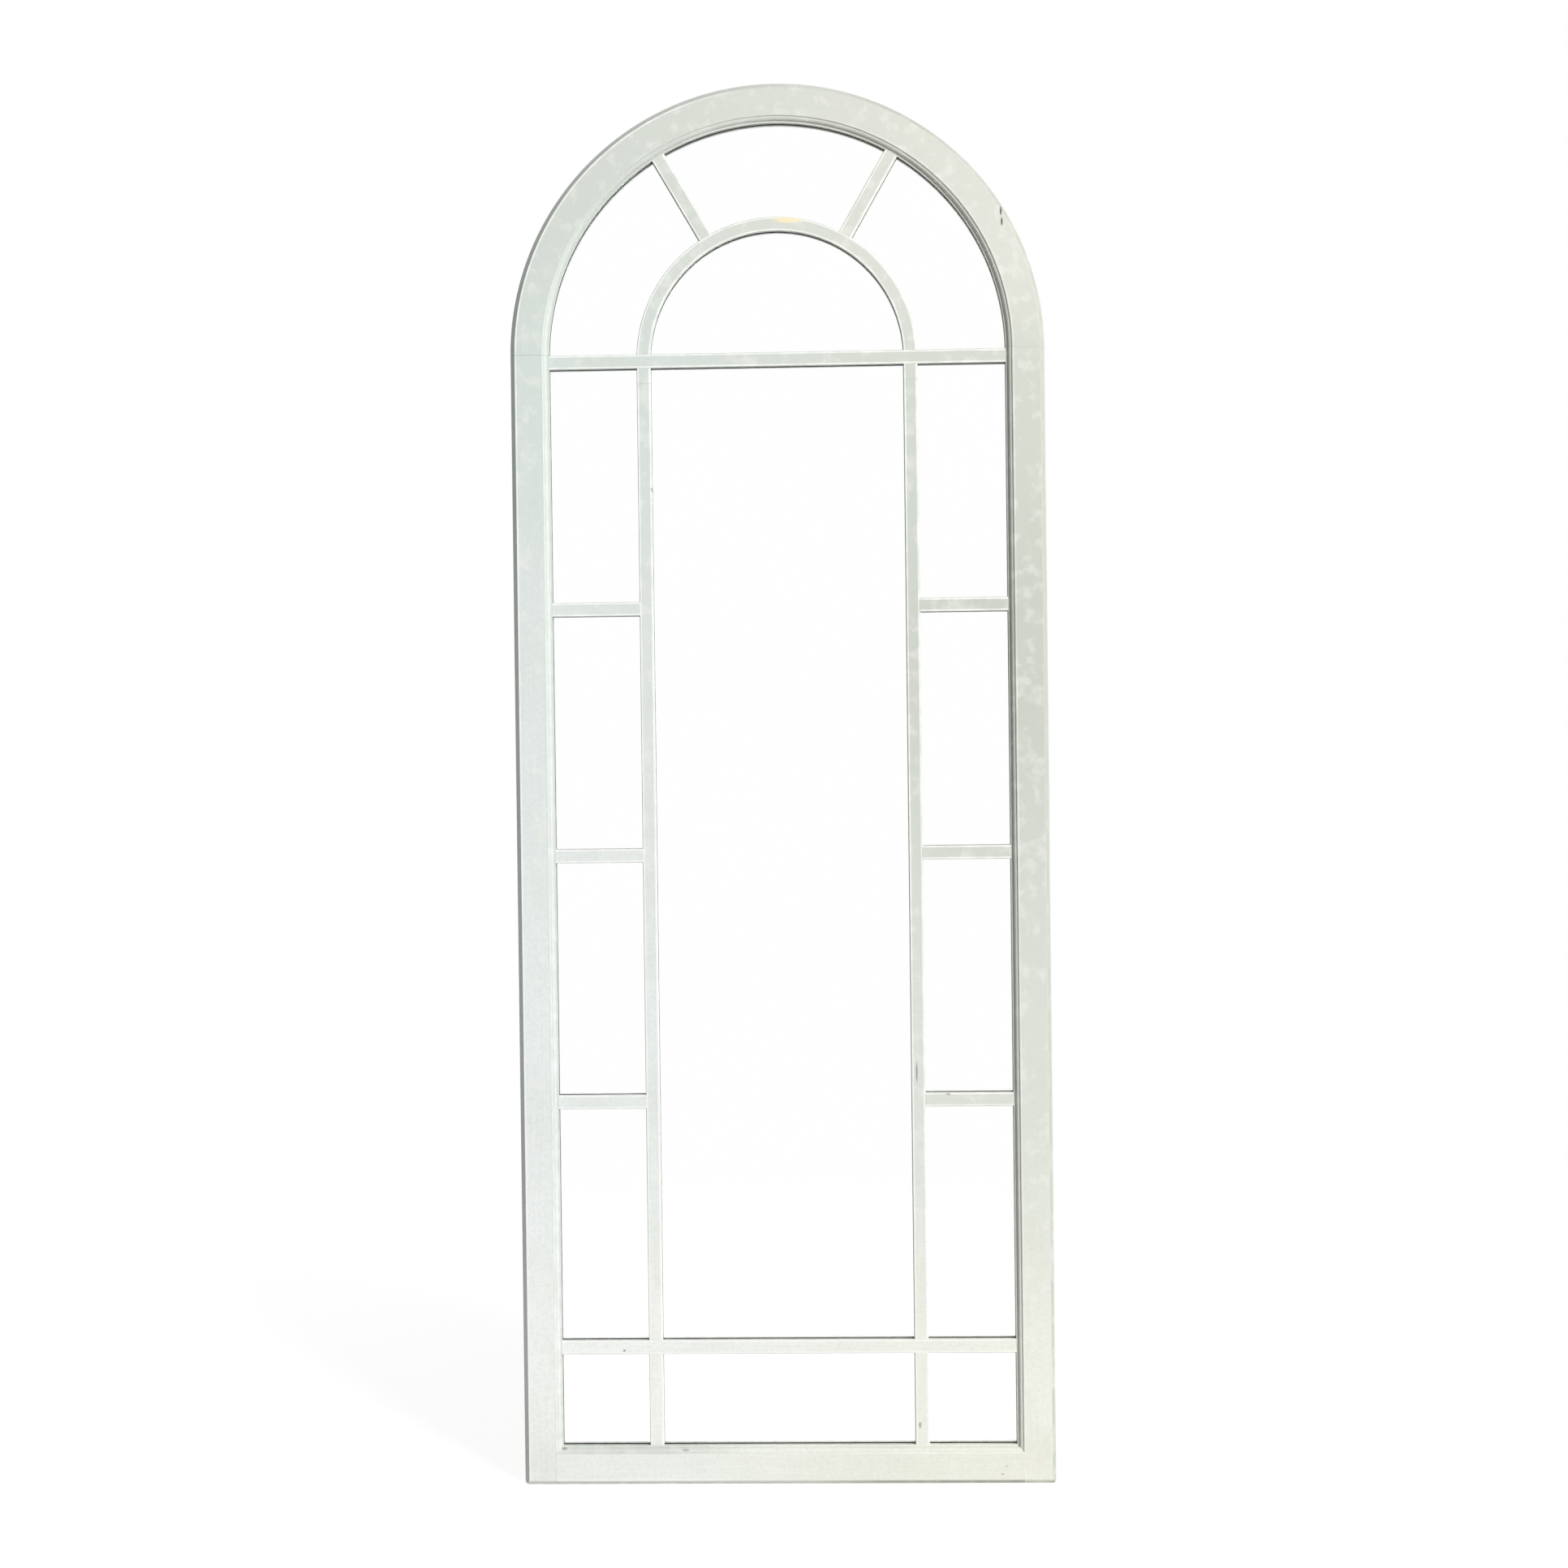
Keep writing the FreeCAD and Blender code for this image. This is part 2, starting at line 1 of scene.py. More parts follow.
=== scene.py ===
import json
import math

import bmesh
import bpy
from mathutils import Matrix, Vector


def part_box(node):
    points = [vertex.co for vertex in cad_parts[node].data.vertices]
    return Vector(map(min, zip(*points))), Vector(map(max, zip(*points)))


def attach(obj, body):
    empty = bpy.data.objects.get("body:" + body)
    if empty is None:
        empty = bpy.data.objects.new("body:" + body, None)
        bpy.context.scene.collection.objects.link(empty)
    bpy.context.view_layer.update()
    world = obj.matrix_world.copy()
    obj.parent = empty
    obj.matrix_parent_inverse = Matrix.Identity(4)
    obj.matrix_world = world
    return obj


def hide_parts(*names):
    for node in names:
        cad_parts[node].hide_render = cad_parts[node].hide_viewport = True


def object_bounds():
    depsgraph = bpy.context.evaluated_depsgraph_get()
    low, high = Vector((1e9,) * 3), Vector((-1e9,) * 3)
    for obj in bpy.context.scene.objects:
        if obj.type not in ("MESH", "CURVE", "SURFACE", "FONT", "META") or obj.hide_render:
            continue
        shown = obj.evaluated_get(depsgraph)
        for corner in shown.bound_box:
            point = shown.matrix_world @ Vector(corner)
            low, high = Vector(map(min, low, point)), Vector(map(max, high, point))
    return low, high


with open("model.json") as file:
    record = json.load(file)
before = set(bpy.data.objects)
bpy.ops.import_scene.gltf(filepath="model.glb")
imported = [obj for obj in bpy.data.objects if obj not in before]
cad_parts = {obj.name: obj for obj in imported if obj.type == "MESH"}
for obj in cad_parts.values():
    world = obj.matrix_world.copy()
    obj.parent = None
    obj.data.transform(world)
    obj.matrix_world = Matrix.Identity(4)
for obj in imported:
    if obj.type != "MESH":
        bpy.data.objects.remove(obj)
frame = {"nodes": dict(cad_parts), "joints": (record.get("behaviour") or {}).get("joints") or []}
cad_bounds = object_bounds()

# Arched window mirror: white-painted wooden frame and grille over one sheet of mirror glass, with the
# fittings on its back. Metres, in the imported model's frame: +X right, +Y to the wall, +Z up.

MM = 0.001
nodes = frame["nodes"]
BODY = "body"

# ---------------------------------------------------------------- places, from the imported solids

frame_low, frame_high = cad_bounds
glass_low, glass_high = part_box("mirror_glass")
stile_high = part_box("right_stile")[1]
SPRING_Z = stile_high[2]
HALF_WIDTH = stile_high[0]
TOP_Z = frame_high[2]


# ---------------------------------------------------------------- camera

# The photograph is 1932 px square. The camera stands a little right of the middle, about half way up
# the mirror. It aims a degree and a half to the left and half a degree down, and is rolled by 0.7 degree.
PHOTO_SIZE = 1932
FOCAL_PX = 2500
SENSOR = 36.0
CAMERA_PLACE = Vector((0.0811, -2.9007, 1.0300))
CAMERA_RIGHT = Vector((0.99956657, 0.02682123, -0.01213654))
CAMERA_AHEAD = Vector((-0.02694392, 0.99958631, -0.01006108))


def make_camera():
    data = bpy.data.cameras.new("camera")
    data.sensor_width = SENSOR
    data.lens = SENSOR * FOCAL_PX / PHOTO_SIZE
    camera = bpy.data.objects.new("camera", data)
    bpy.context.scene.collection.objects.link(camera)
    up = CAMERA_RIGHT.cross(CAMERA_AHEAD)
    turn = Matrix((CAMERA_RIGHT, up, -CAMERA_AHEAD)).transposed()
    camera.matrix_world = Matrix.Translation(CAMERA_PLACE) @ turn.to_4x4()
    bpy.context.scene.camera = camera


# ---------------------------------------------------------------- node helpers

BEVEL_SAMPLES = 6


class Tree:
    """A small builder for material nodes."""

    def __init__(self, tree):
        self.tree = tree
        tree.nodes.clear()

    def add(self, kind, inputs=None, **settings):
        node = self.tree.nodes.new(kind)
        for name, value in settings.items():
            setattr(node, name, value)
        for name, value in (inputs or {}).items():
            self.feed(node.inputs[name], value)
        return node

    def feed(self, socket, value):
        if isinstance(value, bpy.types.NodeSocket):
            self.tree.links.new(value, socket)
        else:
            socket.default_value = value

    def math(self, operation, a, b=0.0):
        node = self.add("ShaderNodeMath", operation=operation)
        for socket, value in zip(node.inputs, (a, b)):
            self.feed(socket, value)
        return node.outputs[0]

    def hypot(self, a, b):
        squares = self.math("ADD", self.math("MULTIPLY", a, a), self.math("MULTIPLY", b, b))
        return self.math("SQRT", squares)

    def shifted(self, vector, offset):
        return self.add("ShaderNodeVectorMath", {0: vector, 1: offset}, operation="ADD").outputs[0]

    def scaled(self, vector, scale):
        return self.add("ShaderNodeMapping", {"Vector": vector, "Scale": scale}).outputs[0]

    def smooth(self, value, low, high, to_low=0.0, to_high=1.0):
        node = self.add("ShaderNodeMapRange", interpolation_type="SMOOTHSTEP")
        for name, setting in (("Value", value), ("From Min", low), ("From Max", high),
                              ("To Min", to_low), ("To Max", to_high)):
            self.feed(node.inputs[name], setting)
        return node.outputs["Result"]

    def mix(self, factor, a, b):
        node = self.add("ShaderNodeMix", data_type="RGBA")
        self.feed(node.inputs["Factor"], factor)
        self.feed(node.inputs["A"], a)
        self.feed(node.inputs["B"], b)
        return node.outputs["Result"]

    def ramp(self, value, stops, full):
        """Colour against value; a stop is a place, given out of full, and its colour."""
        node = self.add("ShaderNodeValToRGB", {"Fac": value})
        node.color_ramp.interpolation = "EASE"
        elements = node.color_ramp.elements
        while len(elements) < len(stops):
            elements.new(1.0)
        for element, (place, colour) in zip(elements, stops):
            element.position = place / full
            element.color = colour
        return node.outputs["Color"]

    def noise(self, vector, scale, detail=2.0, roughness=0.5, distortion=0.0):
        node = self.add("ShaderNodeTexNoise", {"Vector": vector, "Scale": scale, "Detail": detail,
                                               "Roughness": roughness, "Distortion": distortion})
        return node.outputs["Fac"]

    def place(self):
        return self.add("ShaderNodeTexCoord").outputs["Object"]

    def split(self, vector):
        node = self.add("ShaderNodeSeparateXYZ", {"Vector": vector})
        return node.outputs["X"], node.outputs["Y"], node.outputs["Z"]

    def join(self, x, y, z):
        node = self.add("ShaderNodeCombineXYZ", {"X": x, "Y": y, "Z": z})
        return node.outputs["Vector"]

    def soft_edge(self, radius):
        return self.add("ShaderNodeBevel", {"Radius": radius}, samples=BEVEL_SAMPLES).outputs["Normal"]

    def bump(self, height, distance, strength, normal=None):
        inputs = {"Height": height, "Distance": distance, "Strength": strength}
        if normal is not None:
            inputs["Normal"] = normal
        return self.add("ShaderNodeBump", inputs).outputs["Normal"]

    def finish(self, shader):
        self.add("ShaderNodeOutputMaterial", {"Surface": shader})

    def surface(self, colour, roughness, normal=None, extra=None):
        """End the material in one principled shader."""
        inputs = {"Base Color": colour, "Roughness": roughness}
        if normal is not None:
            inputs["Normal"] = normal
        inputs.update(extra or {})
        self.finish(self.add("ShaderNodeBsdfPrincipled", inputs).outputs[0])


def new_material(name):
    material = bpy.data.materials.new(name)
    material.use_nodes = True
    return material, Tree(material.node_tree)


def tone(red, green, blue):
    """A colour from its 0-255 screen values."""
    def linear(value):
        share = value / 255
        return share / 12.92 if share <= 0.04045 else ((share + 0.055) / 1.055) ** 2.4
    return (linear(red), linear(green), linear(blue), 1.0)


# ---------------------------------------------------------------- painted wood

# painted light and shade up the left and the right side, lighter near the floor and darker higher up:
# height above the floor, colour
PAINT_AND_LIGHT_LEFT = ((0.04, tone(242, 246, 242)), (0.10, tone(250, 253, 251)), (0.60, tone(238, 244, 245)),
              (1.19, tone(226, 233, 233)), (1.55, tone(214, 225, 222)), (1.90, tone(208, 215, 209)))
PAINT_AND_LIGHT_RIGHT = ((0.04, tone(239, 240, 228)), (0.10, tone(244, 245, 236)), (0.60, tone(216, 221, 213)),
               (1.19, tone(194, 199, 190)), (1.55, tone(203, 208, 198)), (1.75, tone(219, 220, 212)))
# painted highlight: a light band along the edges of frame members and bars
EDGE_HIGHLIGHT = tone(252, 253, 249)
# painted shade: darkens the right side's outer chamfer, which faces the key light
CHAMFER_SHADE = tone(186, 190, 180)
# painted shade: darkens the left side's moulding, which faces the key light
MOULDING_SHADE = tone(196, 202, 196)

# bands of painted highlight and painted shade along a piece: from and to, measured in from the outside edge
# of a frame member or a bar, then colour, strength, and the side of the mirror that has it (-1 left, 1
# right, 0 both)
FRAME_LIGHT_BANDS = ((6.3 * MM, 8.8 * MM, EDGE_HIGHLIGHT, 0.8, -1),
               (43.6 * MM, 46.6 * MM, EDGE_HIGHLIGHT, 0.4, 1),
               (0.7 * MM, 6.2 * MM, CHAMFER_SHADE, 0.9, 1),
               (44.8 * MM, 60.0 * MM, MOULDING_SHADE, 0.6, -1))
BAR_HIGHLIGHT_BANDS = ((0.7 * MM, 3.0 * MM, EDGE_HIGHLIGHT, 0.8, 0),)
BAND_FEATHER = 0.5 * MM
SIDE_FADE = (0.02, 0.18)    # a one-sided band fades in between these distances from the middle

FRAME_RUNS = {"left_stile": "upright", "right_stile": "upright", "bottom_rail": "level",
              "arch_head_left": "round", "arch_head_right": "round"}
BAR_RUNS = {"left_upright": "upright", "right_upright": "upright",
            "transom_bar": "level", "base_bar": "level",
            "inner_arch_left": "round", "inner_arch_right": "round",
            "radial_bar_left": "ray", "radial_bar_right": "ray"}
for bar_side in ("left", "right"):
    for bar_number in (1, 2, 3):
        BAR_RUNS[f"side_bar_{bar_side}_{bar_number}"] = "level"

inner_arch_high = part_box("inner_arch_right")[1]
ARCH_CENTRE_Z = inner_arch_high[2] - inner_arch_high[0]
upright_low, upright_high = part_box("left_upright")
BAR_HALF = (upright_high[0] - upright_low[0]) / 2
RADIAL_TURN = {"radial_bar_left": math.radians(-30), "radial_bar_right": math.radians(30)}

# joints that show through the paint, with their height and strength: the spring line, and the feet of
# the inner arch's legs
LEG_JOINT_Z = upright_high[2]
JOINTS = {"left_stile": ((SPRING_Z, 0.32),), "arch_head_left": ((SPRING_Z, 0.32),),
          "right_stile": ((SPRING_Z, 0.12),), "arch_head_right": ((SPRING_Z, 0.12),),
          "left_upright": ((LEG_JOINT_Z, 0.25),), "inner_arch_left": ((LEG_JOINT_Z, 0.25),),
          "right_upright": ((LEG_JOINT_Z, 0.12),), "inner_arch_right": ((LEG_JOINT_Z, 0.12),)}

CLOUD = tone(212, 214, 203)
PALE_BLOTCH = tone(244, 246, 240)
STROKE = tone(205, 206, 198)
MOTTLE = tone(204, 206, 196)
OVERSPRAY = tone(226, 227, 220)
RAW_WOOD = tone(196, 164, 122)
WOOD_GRAIN = tone(168, 132, 90)
# grime for the joint lines; the same colour is the painted shade in the quirks
GRIME_AND_SHADE = tone(150, 144, 128)
YELLOWED = tone(252, 234, 196)
DARK_MARK = tone(74, 68, 60)

ACROSS_STROKES = 900.0      # noise scale across the brush strokes, and along them
ALONG_STROKES = 14.0
TURN_SHARE = 0.3            # brings an angle's scale to that of a length on the round pieces
# scales of the first and last brush coordinate: x and z, or radius and angle on the arcs and rays
STROKE_SCALES = {"upright": (ACROSS_STROKES, ALONG_STROKES),
                 "level": (ALONG_STROKES, ACROSS_STROKES),
                 "round": (ACROSS_STROKES, ALONG_STROKES * TURN_SHARE),
                 "ray": (ALONG_STROKES, ACROSS_STROKES * TURN_SHARE)}
PAINT_IOR = 1.47
PAINT_EDGE = 0.5 * MM

# wear seen in the photograph: centre (x, z), half sizes (x, z), colour, strength
MARKS = [
    ((0.3199, 1.8085), (0.0016, 0.0078), DARK_MARK, 0.90),
    ((0.3210, 1.7935), (0.0016, 0.0065), DARK_MARK, 0.90),
    ((0.0200, 1.8035), (0.0230, 0.0052), YELLOWED, 0.90),
    ((0.1875, 0.5880), (0.0014, 0.0160), DARK_MARK, 0.60),
    ((0.1865, 0.0830), (0.0022, 0.0050), DARK_MARK, 0.55),
    ((0.2320, 0.5560), (0.0040, 0.0018), DARK_MARK, 0.45),
    ((-0.2355, 0.1915), (0.0022, 0.0018), DARK_MARK, 0.65),
    ((-0.1800, 1.4230), (0.0018, 0.0032), DARK_MARK, 0.50),
    ((-0.3230, 0.0515), (0.0040, 0.0016), DARK_MARK, 0.50),
    ((-0.1490, 0.0495), (0.0060, 0.0013), DARK_MARK, 0.45),
    ((0.3030, 0.0147), (0.0024, 0.0010), DARK_MARK, 0.50),
    ((0.3088, 0.0262), (0.0012, 0.0018), DARK_MARK, 0.45),
]


def brush_space(t, place, run, centre_z):
    """Coordinates drawn out along the piece, so that noise becomes brush strokes."""
    x, y, z = t.split(place)
    first, last = x, z
    if run in ("round", "ray"):
        high = t.math("SUBTRACT", z, centre_z)
        first, last = t.hypot(x, high), t.math("ARCTAN2", high, x)
    first_scale, last_scale = STROKE_SCALES[run]
    return t.join(t.math("MULTIPLY", first, first_scale), t.math("MULTIPLY", y, ACROSS_STROKES),
                  t.math("MULTIPLY", last, last_scale))


def edge_distance(t, place, node, run):
    """Distance in from the outside edge of a frame member, or from the nearer edge of a bar."""
    x, _, z = t.split(place)
    if node in FRAME_RUNS:
        if run == "level":
            return t.math("SUBTRACT", z, frame_low[2])
        if run == "upright":
            return t.math("SUBTRACT", HALF_WIDTH, t.math("ABSOLUTE", x))
        high = t.math("SUBTRACT", z, SPRING_Z)
        return t.math("SUBTRACT", HALF_WIDTH, t.hypot(x, high))
    low_corner, high_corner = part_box(node)
    if run == "level":
        off = t.math("SUBTRACT", z, (low_corner[2] + high_corner[2]) / 2)
    elif run == "upright":
        off = t.math("SUBTRACT", x, (low_corner[0] + high_corner[0]) / 2)
    elif run == "round":
        # the legs below the centre are upright, at the same distance from the middle
        high = t.math("MAXIMUM", t.math("SUBTRACT", z, ARCH_CENTRE_Z), 0.0)
        off = t.math("SUBTRACT", t.hypot(x, high), inner_arch_high[0] - BAR_HALF)
    else:
        turn = RADIAL_TURN[node]
        high = t.math("SUBTRACT", z, ARCH_CENTRE_Z)
        off = t.math("SUBTRACT", t.math("MULTIPLY", x, math.cos(turn)),
                     t.math("MULTIPLY", high, math.sin(turn)))
    return t.math("SUBTRACT", BAR_HALF, t.math("ABSOLUTE", off))


def paint(node, run, shift):
    """Old satin paint on wood: brush strokes, mottling, marks and joint lines, with painted light and
    shade:
    tones that change with height and side, bands of painted highlight and painted shade along the edges,
    and painted shade, patchy like grime, in the quirks. The frame's back is raw wood with some overspray."""
    material, t = new_material("paint_" + node)
    place = t.place()
    x, _, z = t.split(place)
    on_frame = node in FRAME_RUNS
    away = (shift, shift * 0.7, shift * 1.3)
    moved = t.shifted(place, away)
    brushed = t.shifted(brush_space(t, place, run, SPRING_Z if on_frame else ARCH_CENTRE_Z), away)

    # painted light and shade: the base tone changes with height and from left to right, as the light fell
    # on the frame
    to_right = t.smooth(x, -HALF_WIDTH, HALF_WIDTH)
    height_share = t.math("DIVIDE", z, TOP_Z)
    colour = t.mix(to_right, t.ramp(height_share, PAINT_AND_LIGHT_LEFT, TOP_Z),
                   t.ramp(height_share, PAINT_AND_LIGHT_RIGHT, TOP_Z))

    cloud = t.noise(moved, 7.0, 4.0, 0.6)
    colour = t.mix(t.smooth(cloud, 0.35, 0.75, 0.0, 0.22), colour, CLOUD)
    blotch = t.noise(moved, 45.0, 3.0, 0.55)
    colour = t.mix(t.smooth(blotch, 0.50, 0.68, 0.0, 0.34), colour, PALE_BLOTCH)

    strokes = t.noise(brushed, 1.0, 3.0, 0.6)
    colour = t.mix(t.smooth(strokes, 0.35, 0.7, 0.0, 0.16), colour, STROKE)
    mottle = t.noise(moved, 210.0, 3.0, 0.6)
    colour = t.mix(t.smooth(mottle, 0.4, 0.7, 0.0, 0.20), colour, MOTTLE)

    rim = edge_distance(t, place, node, run)
    uneven = t.smooth(blotch, 0.3, 0.6, 0.6, 1.0)
    # painted highlight and painted shade in bands along the edges of each piece
    for near, far, band_colour, strength, side in FRAME_LIGHT_BANDS if on_frame else BAR_HIGHLIGHT_BANDS:
        begun = t.smooth(rim, near - BAND_FEATHER, near + BAND_FEATHER, 0.0, strength)
        ended = t.smooth(rim, far + BAND_FEATHER, far - BAND_FEATHER)
        band = t.math("MULTIPLY", t.math("MULTIPLY", begun, ended), uneven)
        if side:
            band = t.math("MULTIPLY", band, t.smooth(t.math("MULTIPLY", x, side), *SIDE_FADE))
        colour = t.mix(band, colour, band_colour)

    # painted shade: darker where ambient occlusion finds quirks and recesses that less light reaches,
    # broken into patches like grime
    open_to_air = t.add("ShaderNodeAmbientOcclusion", {"Distance": 6 * MM}, samples=8).outputs["AO"]
    patches = t.smooth(t.noise(moved, 60.0, 4.0), 0.3, 0.7, 0.25, 0.8)
    shade_and_dirt = t.math("MULTIPLY", t.smooth(open_to_air, 0.75, 0.25), patches)
    colour = t.mix(t.math("MULTIPLY", shade_and_dirt, 0.55), colour, GRIME_AND_SHADE)

    wobble = t.math("SUBTRACT", t.noise(place, 900.0, 3.0, 0.6), 0.5)
    for (mark_x, mark_z), (half_x, half_z), mark_colour, strength in MARKS:
        off_x = t.math("DIVIDE", t.math("SUBTRACT", x, mark_x), half_x)
        off_z = t.math("DIVIDE", t.math("SUBTRACT", z, mark_z), half_z)
        ragged = t.math("ADD", t.hypot(off_x, off_z), t.math("MULTIPLY", wobble, 1.2))
        colour = t.mix(t.smooth(ragged, 1.15, 0.55, 0.0, strength), colour, mark_colour)

    for joint_z, strength in JOINTS.get(node, ()):
        off = t.math("ABSOLUTE", t.math("SUBTRACT", z, joint_z))
        ragged = t.math("ADD", off, t.math("MULTIPLY", wobble, 0.8 * MM))
        colour = t.mix(t.smooth(ragged, 0.9 * MM, 0.2 * MM, 0.0, strength), colour, GRIME_AND_SHADE)

    roughness = t.smooth(blotch, 0.3, 0.8, 0.42, 0.56)
    if on_frame:
        true_normal = t.add("ShaderNodeNewGeometry").outputs["True Normal"]
        behind = t.smooth(t.split(true_normal)[1], 0.8, 0.95)
        grain = t.noise(brushed, 0.35, 5.0, 0.65)
        wood = t.mix(t.smooth(grain, 0.3, 0.7), RAW_WOOD, WOOD_GRAIN)
        overspray = t.smooth(t.noise(moved, 18.0, 3.0), 0.5, 0.75, 0.0, 0.35)
        wood = t.mix(overspray, wood, OVERSPRAY)
        colour = t.mix(behind, colour, wood)
        roughness = t.math("ADD", roughness, t.math("MULTIPLY", behind, 0.25))

    grit = t.noise(moved, 1500.0, 2.0, 0.5)
    height = t.math("ADD", t.math("MULTIPLY", strokes, 0.7), t.math("MULTIPLY", grit, 0.3))
    normal = t.bump(height, 0.10 * MM, 0.5, t.soft_edge(PAINT_EDGE))
    t.surface(colour, roughness, normal, {"IOR": PAINT_IOR})
    return material


# ---------------------------------------------------------------- glass, board, metal, rubber

GLASS_IOR = 1.52
CLEAR_GLASS = (0.999, 1.0, 0.9995, 1)
GREEN_GLASS = (0.996, 0.999, 0.997, 1)
SILVER = (0.996, 0.997, 0.996, 1)
SPOILT_SILVER = tone(120, 110, 95)
SPOILT_BELOW = (0.062, 0.045)       # heights between which the spoilt spots set in
FIBRE_DARK = tone(112, 82, 56)
FIBRE_PALE = tone(146, 112, 80)
BOARD_STAIN = tone(96, 68, 46)
ZINC_GREY = tone(186, 188, 192)
ZINC_EDGE = 0.25 * MM
SCRATCH_SCALE = (2500, 2500, 90)
YELLOW_PASSIVATION = 0.6
RUBBER = tone(34, 34, 35)
RUBBER_DUST = tone(70, 69, 67)
BEECH_PALE = tone(214, 178, 134)
BEECH_DARK = tone(190, 148, 104)
BEECH_GRAIN_SCALE = (400, 400, 30)


def clear_glass():
    material, t = new_material("clear_glass")
    faint = t.noise(t.place(), 3.0, 2.0)
    colour = t.mix(t.smooth(faint, 0.3, 0.7), CLEAR_GLASS, GREEN_GLASS)
    t.surface(colour, 0.0, extra={"IOR": GLASS_IOR, "Transmission Weight": 1.0})
    return material


def silver():
    """Silvering, with a faint darkening where the bottom edge has begun to spoil."""
    material, t = new_material("silvering")
    place = t.place()
    edge = t.smooth(t.split(place)[2], *SPOILT_BELOW)
    spots = t.math("MULTIPLY", edge, t.smooth(t.noise(place, 70.0, 5.0, 0.65), 0.52, 0.62))
    colour = t.mix(t.math("MULTIPLY", spots, 0.5), SILVER, SPOILT_SILVER)
    t.surface(colour, 0.0, extra={"Metallic": 1.0})
    return material


def hardboard():
    material, t = new_material("hardboard")
    place = t.place()
    fibres = t.noise(place, 420.0, 6.0, 0.7, 0.8)
    clouds = t.noise(place, 5.0, 4.0, 0.6)
    colour = t.mix(t.smooth(fibres, 0.3, 0.7), FIBRE_DARK, FIBRE_PALE)
    colour = t.mix(t.smooth(clouds, 0.4, 0.7, 0.0, 0.45), colour, BOARD_STAIN)
    roughness = t.smooth(clouds, 0.3, 0.7, 0.45, 0.62)
    t.surface(colour, roughness, t.bump(fibres, 0.15 * MM, 0.6))
    return material


def zinc(name, warmth=0.0):
    """Zinc plate: warmth is 0 for bright zinc and rises as it is passivated yellow."""
    material, t = new_material(name)
    place = t.place()
    spangle = t.noise(place, 260.0, 3.0, 0.6)
    scratch = t.noise(t.scaled(place, SCRATCH_SCALE), 1.0, 2.0)
    colour = t.mix(t.smooth(spangle, 0.35, 0.65), ZINC_GREY, tone(208, 208, 206 - 30 * warmth))
    roughness = t.math("ADD", t.smooth(spangle, 0.3, 0.7, 0.26, 0.40), t.math("MULTIPLY", scratch, 0.06))
    t.surface(colour, roughness, t.bump(scratch, 0.02 * MM, 0.5, t.soft_edge(ZINC_EDGE)), {"Metallic": 1.0})
    return material


def black_rubber():
    material, t = new_material("black_rubber")
    dust = t.noise(t.place(), 500.0, 4.0, 0.6)
    colour = t.mix(t.smooth(dust, 0.4, 0.75), RUBBER, RUBBER_DUST)
    t.surface(colour, 0.72, t.bump(dust, 0.05 * MM, 0.6))
    return material


def bare_beech():
    material, t = new_material("bare_beech")
    grain = t.noise(t.scaled(t.place(), BEECH_GRAIN_SCALE), 1.0, 4.0)
    colour = t.mix(t.smooth(grain, 0.3, 0.7), BEECH_PALE, BEECH_DARK)
    t.surface(colour, 0.6, t.bump(grain, 0.1 * MM, 0.4))
    return material


# ---------------------------------------------------------------- dressing the CAD nodes

def dress(node, material):
    """Give a CAD node a material in every one of its slots."""
    piece = nodes[node]
    if not piece.data.materials:
        piece.data.materials.append(material)
    for material_slot in piece.material_slots:
        material_slot.material = material


PIECE_SHIFT = 1.37          # moves the noise on from piece to piece, so that no two look alike


def dress_wood():
    for number, (node, run) in enumerate((FRAME_RUNS | BAR_RUNS).items()):
        dress(node, paint(node, run, PIECE_SHIFT * (number + 1)))


# ---------------------------------------------------------------- mesh helpers

def plain_object(bm, name):
    mesh = bpy.data.meshes.new(name)
    bm.to_mesh(mesh)
    bm.free()
    plain = bpy.data.objects.new(name, mesh)
    bpy.context.scene.collection.objects.link(plain)
    return plain


def object_from(bm, name, material, body=BODY, smooth_angle=35.0):
    """A smooth-shaded visible piece on its body, with its material."""
    piece = plain_object(bm, name)
    piece.data.materials.append(material)
    piece.data.shade_smooth()
    piece.data.set_sharp_from_angle(angle=math.radians(smooth_angle))
    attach(piece, body)
    return piece


SILVER_STEPS = 96
SILVER_INSET = 0.05 * MM    # in from the back of the glass
SILVER_MARGIN = 1.5 * MM    # in from the glass's edge


def make_silvering():
    """The reflecting layer, just inside the back of the glass."""
    half = glass_high[0] - SILVER_MARGIN
    bottom = glass_low[2] + SILVER_MARGIN
    y = glass_high[1] - SILVER_INSET
    outline = [(half, y, bottom)]
    for i in range(SILVER_STEPS + 1):
        turn = math.pi * i / SILVER_STEPS
        outline.append((half * math.cos(turn), y, SPRING_Z + half * math.sin(turn)))
    outline.append((-half, y, bottom))
    bm = bmesh.new()
    face = bm.faces.new([bm.verts.new(point) for point in outline])
    face.normal_update()
    if face.normal.y > 0:
        bmesh.ops.reverse_faces(bm, faces=[face])
    object_from(bm, "silver_layer", silver())


# ---------------------------------------------------------------- hardware

REVOLVE_STEPS = 48
WELD = 1e-6                 # vertices nearer than this are one
KEY_DIGITS = 5              # solids of a node are put in order by corners rounded to this many places


def revolve(bm, profile, place):
    """Surface of revolution about the Y axis through place; profile is (radius, y) from axis to axis."""
    rings = []
    for radius, y in profile:
        if radius == 0:
            rings.append([bm.verts.new(place + Vector((0, y, 0)))])
            continue
        ring = []
        for i in range(REVOLVE_STEPS):
            turn = math.tau * i / REVOLVE_STEPS
            spoke = Vector((radius * math.cos(turn), y, radius * math.sin(turn)))
            ring.append(bm.verts.new(place + spoke))
        rings.append(ring)
    for a, b in zip(rings, rings[1:]):
        for i in range(REVOLVE_STEPS):
            j = (i + 1) % REVOLVE_STEPS
            if len(a) == 1:
                bm.faces.new((a[0], b[j], b[i]))
            elif len(b) == 1:
                bm.faces.new((a[i], a[j], b[0]))
            else:
                bm.faces.new((a[i], a[j], b[j], b[i]))
    bmesh.ops.recalc_face_normals(bm, faces=bm.faces)


